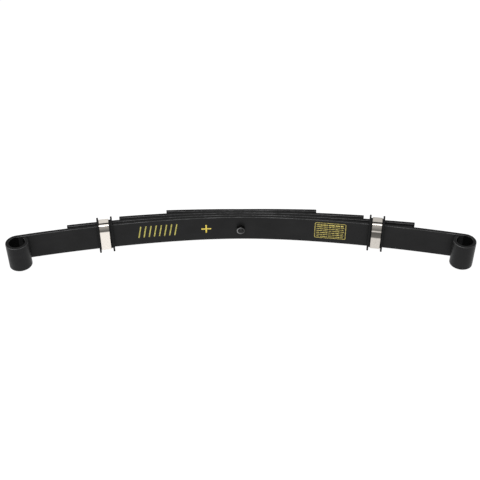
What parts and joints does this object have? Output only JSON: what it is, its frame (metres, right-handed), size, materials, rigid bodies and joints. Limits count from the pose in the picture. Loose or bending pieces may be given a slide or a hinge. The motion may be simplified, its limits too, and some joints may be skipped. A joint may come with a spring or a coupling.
{
  "type": "leaf spring",
  "caption": "Semi-elliptic multi-leaf spring, tapering stack of curved flat leaves with a rolled eye at each end, a centre bolt and a steel clip on each arm.",
  "frame": {"origin": "middle of the footprint, on the surface that the spring stands on when it lies on the side edges of its leaves", "axes": "+X along the spring from one eye to the other, +Y from the main leaf towards the short leaves and the axle seat, +Z across the leaf width, parallel to the eye bores; fitted on a vehicle with the short leaves above the axle or below it, the loaded direction is along Y"},
  "size_m": [0.7254, 0.1068, 0.0545],
  "materials": {
    "leaf_paint": "satin black paint",
    "bolt_steel": "black oxide, dipped with the leaves",
    "band_steel": "bright strip steel, lightly brushed",
    "liner_rubber": "matt black moulded rubber",
    "pad_plastic": "matt black moulded plastic"
  },
  "bodies": {
    "centre": {"main_leaf_middle": "leaf_paint", "second_leaf_middle": "leaf_paint", "third_leaf_middle": "leaf_paint", "fourth_leaf": "leaf_paint", "centre_bolt": "bolt_steel", "centre_nut": "bolt_steel", "fourth_leaf_left_tip_pad": "pad_plastic", "fourth_leaf_right_tip_pad": "pad_plastic"},
    "left_arm": {"main_leaf_left_end": "leaf_paint", "second_leaf_left_end": "leaf_paint", "third_leaf_left_end": "leaf_paint", "left_clip_band": "band_steel", "left_clip_liner": "liner_rubber", "second_leaf_left_tip_pad": "pad_plastic", "third_leaf_left_tip_pad": "pad_plastic"},
    "right_arm": {"main_leaf_right_end": "leaf_paint", "second_leaf_right_end": "leaf_paint", "third_leaf_right_end": "leaf_paint", "right_clip_band": "band_steel", "right_clip_liner": "liner_rubber", "second_leaf_right_tip_pad": "pad_plastic", "third_leaf_right_tip_pad": "pad_plastic"}
  },
  "joints": [
    {"name": "left_arm_flex", "type": "hinge", "parent": "centre", "child": "left_arm", "pos_m": [-0.12634, 0.01993, 0.02782], "axis": [0, 0, -1], "range_deg": [-2, 12.5], "stiffness_Nm_per_rad": 1550},
    {"name": "right_arm_flex", "type": "hinge", "parent": "centre", "child": "right_arm", "pos_m": [0.12634, 0.01993, 0.02782], "axis": [0, 0, 1], "range_deg": [-2, 12.5], "stiffness_Nm_per_rad": 1550}
  ]
}
